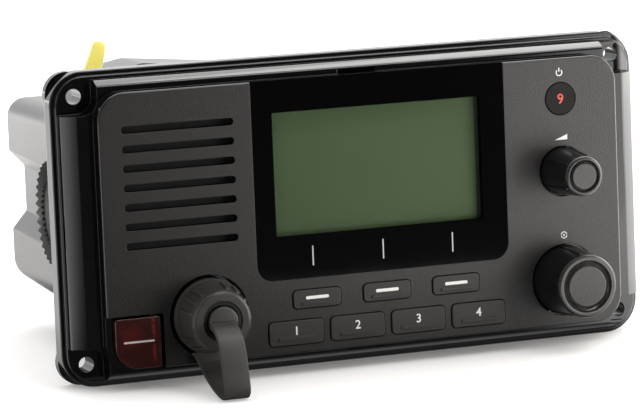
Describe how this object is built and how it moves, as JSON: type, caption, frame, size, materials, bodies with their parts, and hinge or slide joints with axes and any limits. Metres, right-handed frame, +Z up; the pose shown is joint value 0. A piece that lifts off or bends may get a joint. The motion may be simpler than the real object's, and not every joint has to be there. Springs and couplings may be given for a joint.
{
  "type": "vhf marine radio",
  "caption": "Flush-mount marine radio with green display, slotted speaker, keys, two knobs, distress door, capped handset socket and finned rear case",
  "frame": {"origin": "centre of the four flange holes, on the plane where the flange's corner bosses meet the panel", "axes": "+X to the right of someone facing the controls, +Y away from them through the panel, +Z up"},
  "size_m": [0.1694, 0.1403, 0.0864],
  "materials": {
    "face_plastic": "fine-grained satin dark grey face with a glossy black rim",
    "window": "glossy black-bordered window, clear over the display",
    "display_glass": "grey-green liquid-crystal glass, unlit",
    "white_plastic": "white moulded plastic",
    "circuit_board": "green solder mask",
    "silicone": "soft grey silicone",
    "switch_metal": "small metal dome switches",
    "key_rubber": "matt black rubber-feel key",
    "knob_plastic": "black plastic, satin sides and glossy dished ring",
    "shaft_metal": "turned or pressed metal",
    "inner_plastic": "black moulded plastic",
    "mesh_metal": "black perforated screen",
    "cone": "black coated cone",
    "magnet": "dark ferrite magnet",
    "red_door": "dark red translucent plastic",
    "red_button": "red button",
    "pin_metal": "stainless steel",
    "socket_plastic": "black moulded plastic",
    "contact_metal": "brass",
    "cap_plastic": "matt black plastic cap",
    "seal_rubber": "black seal",
    "strap_rubber": "flexible matt black strap",
    "case_metal": "black powder-coated die casting, fine texture",
    "foam": "black closed-cell foam",
    "ribbon": "flat ribbon cable",
    "yellow_cap": "pale yellow translucent soft plastic"
  },
  "bodies": {
    "radio": {"front_housing": "face_plastic", "display_window": "window", "lcd_panel": "display_glass", "backlight": "white_plastic", "front_board": "circuit_board", "keypad_mat": "silicone", "channel_key_pad": "silicone", "key_switches": "switch_metal", "volume_encoder": "inner_plastic", "select_encoder": "inner_plastic", "speaker_mesh": "mesh_metal", "speaker_basket": "shaft_metal", "speaker_cone": "cone", "speaker_magnet": "magnet", "door_pin": "pin_metal", "door_spring": "pin_metal", "distress_switch": "inner_plastic", "distress_board": "circuit_board", "socket_barrel": "socket_plastic", "contact_carrier": "inner_plastic", "socket_contacts": "contact_metal", "socket_nut": "inner_plastic", "strap_ring": "strap_rubber", "rear_housing": "case_metal", "bracket_inserts": "contact_metal", "case_seal": "seal_rubber", "mounting_gasket": "foam", "case_screws": "pin_metal", "main_board": "circuit_board", "rf_shield": "shaft_metal", "power_amplifier": "inner_plastic", "ribbon_cable": "ribbon", "antenna_socket": "pin_metal", "antenna_insulator": "white_plastic", "antenna_contact": "contact_metal", "network_socket": "socket_plastic", "cable_gland": "socket_plastic"},
    "soft_key_1": {"soft_key_1": "key_rubber"},
    "soft_key_2": {"soft_key_2": "key_rubber"},
    "soft_key_3": {"soft_key_3": "key_rubber"},
    "function_key_1": {"function_key_1": "key_rubber"},
    "function_key_2": {"function_key_2": "key_rubber"},
    "function_key_3": {"function_key_3": "key_rubber"},
    "function_key_4": {"function_key_4": "key_rubber"},
    "channel_key": {"channel_key": "key_rubber"},
    "volume_rotor": {"volume_rotor": "inner_plastic"},
    "volume_knob": {"volume_shaft": "shaft_metal", "volume_knob": "knob_plastic"},
    "select_rotor": {"select_rotor": "inner_plastic"},
    "select_knob": {"select_shaft": "shaft_metal", "select_knob": "knob_plastic"},
    "distress_door": {"distress_door": "red_door"},
    "distress_button": {"distress_button": "red_button"},
    "cap": {"cap_plug": "cap_plastic", "cap_seal": "seal_rubber", "cap_strap": "strap_rubber"},
    "collar": {"cap_collar": "cap_plastic"},
    "antenna_cap": {"antenna_cap": "yellow_cap"}
  },
  "joints": [
    {"name": "soft_key_1_press", "type": "slide", "parent": "radio", "child": "soft_key_1", "axis": [0, 1, 0], "range_m": [0, 0.0007], "stiffness_N_per_m": 1500, "springref_m": -0.0005},
    {"name": "soft_key_2_press", "type": "slide", "parent": "radio", "child": "soft_key_2", "axis": [0, 1, 0], "range_m": [0, 0.0007], "stiffness_N_per_m": 1500, "springref_m": -0.0005},
    {"name": "soft_key_3_press", "type": "slide", "parent": "radio", "child": "soft_key_3", "axis": [0, 1, 0], "range_m": [0, 0.0007], "stiffness_N_per_m": 1500, "springref_m": -0.0005},
    {"name": "function_key_1_press", "type": "slide", "parent": "radio", "child": "function_key_1", "axis": [0, 1, 0], "range_m": [0, 0.0007], "stiffness_N_per_m": 1500, "springref_m": -0.0005},
    {"name": "function_key_2_press", "type": "slide", "parent": "radio", "child": "function_key_2", "axis": [0, 1, 0], "range_m": [0, 0.0007], "stiffness_N_per_m": 1500, "springref_m": -0.0005},
    {"name": "function_key_3_press", "type": "slide", "parent": "radio", "child": "function_key_3", "axis": [0, 1, 0], "range_m": [0, 0.0007], "stiffness_N_per_m": 1500, "springref_m": -0.0005},
    {"name": "function_key_4_press", "type": "slide", "parent": "radio", "child": "function_key_4", "axis": [0, 1, 0], "range_m": [0, 0.0007], "stiffness_N_per_m": 1500, "springref_m": -0.0005},
    {"name": "channel_key_press", "type": "slide", "parent": "radio", "child": "channel_key", "axis": [0, 1, 0], "range_m": [0, 0.0007], "stiffness_N_per_m": 1500, "springref_m": -0.0005},
    {"name": "volume_turn", "type": "hinge", "parent": "radio", "child": "volume_rotor", "pos_m": [0.0583, -0.012, 0.0059], "axis": [0, 1, 0], "continuous": true},
    {"name": "volume_push", "type": "slide", "parent": "volume_rotor", "child": "volume_knob", "axis": [0, 1, 0], "range_m": [0, 0.0005], "stiffness_N_per_m": 3000, "springref_m": -0.0005},
    {"name": "select_turn", "type": "hinge", "parent": "radio", "child": "select_rotor", "pos_m": [0.0581, -0.012, -0.0244], "axis": [0, 1, 0], "continuous": true},
    {"name": "select_push", "type": "slide", "parent": "select_rotor", "child": "select_knob", "axis": [0, 1, 0], "range_m": [0, 0.0005], "stiffness_N_per_m": 3000, "springref_m": -0.0005},
    {"name": "door_open", "type": "hinge", "parent": "radio", "child": "distress_door", "pos_m": [-0.0616, -0.0162, -0.029], "axis": [0, 0, 1], "range_deg": [0, 95], "stiffness_Nm_per_rad": 0.003, "springref_deg": -28.65},
    {"name": "distress_press", "type": "slide", "parent": "radio", "child": "distress_button", "axis": [0, 1, 0], "range_m": [0, 0.001], "stiffness_N_per_m": 1500, "springref_m": -0.0005},
    {"name": "cap_pull", "type": "slide", "parent": "radio", "child": "cap", "axis": [0, -1, 0], "range_m": [0, 0.008], "deforming": ["cap_strap"]},
    {"name": "collar_turn", "type": "hinge", "parent": "cap", "child": "collar", "pos_m": [-0.0464, -0.024, -0.0244], "axis": [0, 1, 0], "continuous": true},
    {"name": "antenna_cap_pull", "type": "slide", "parent": "radio", "child": "antenna_cap", "axis": [0, 1, 0], "range_m": [0, 0.014]}
  ]
}
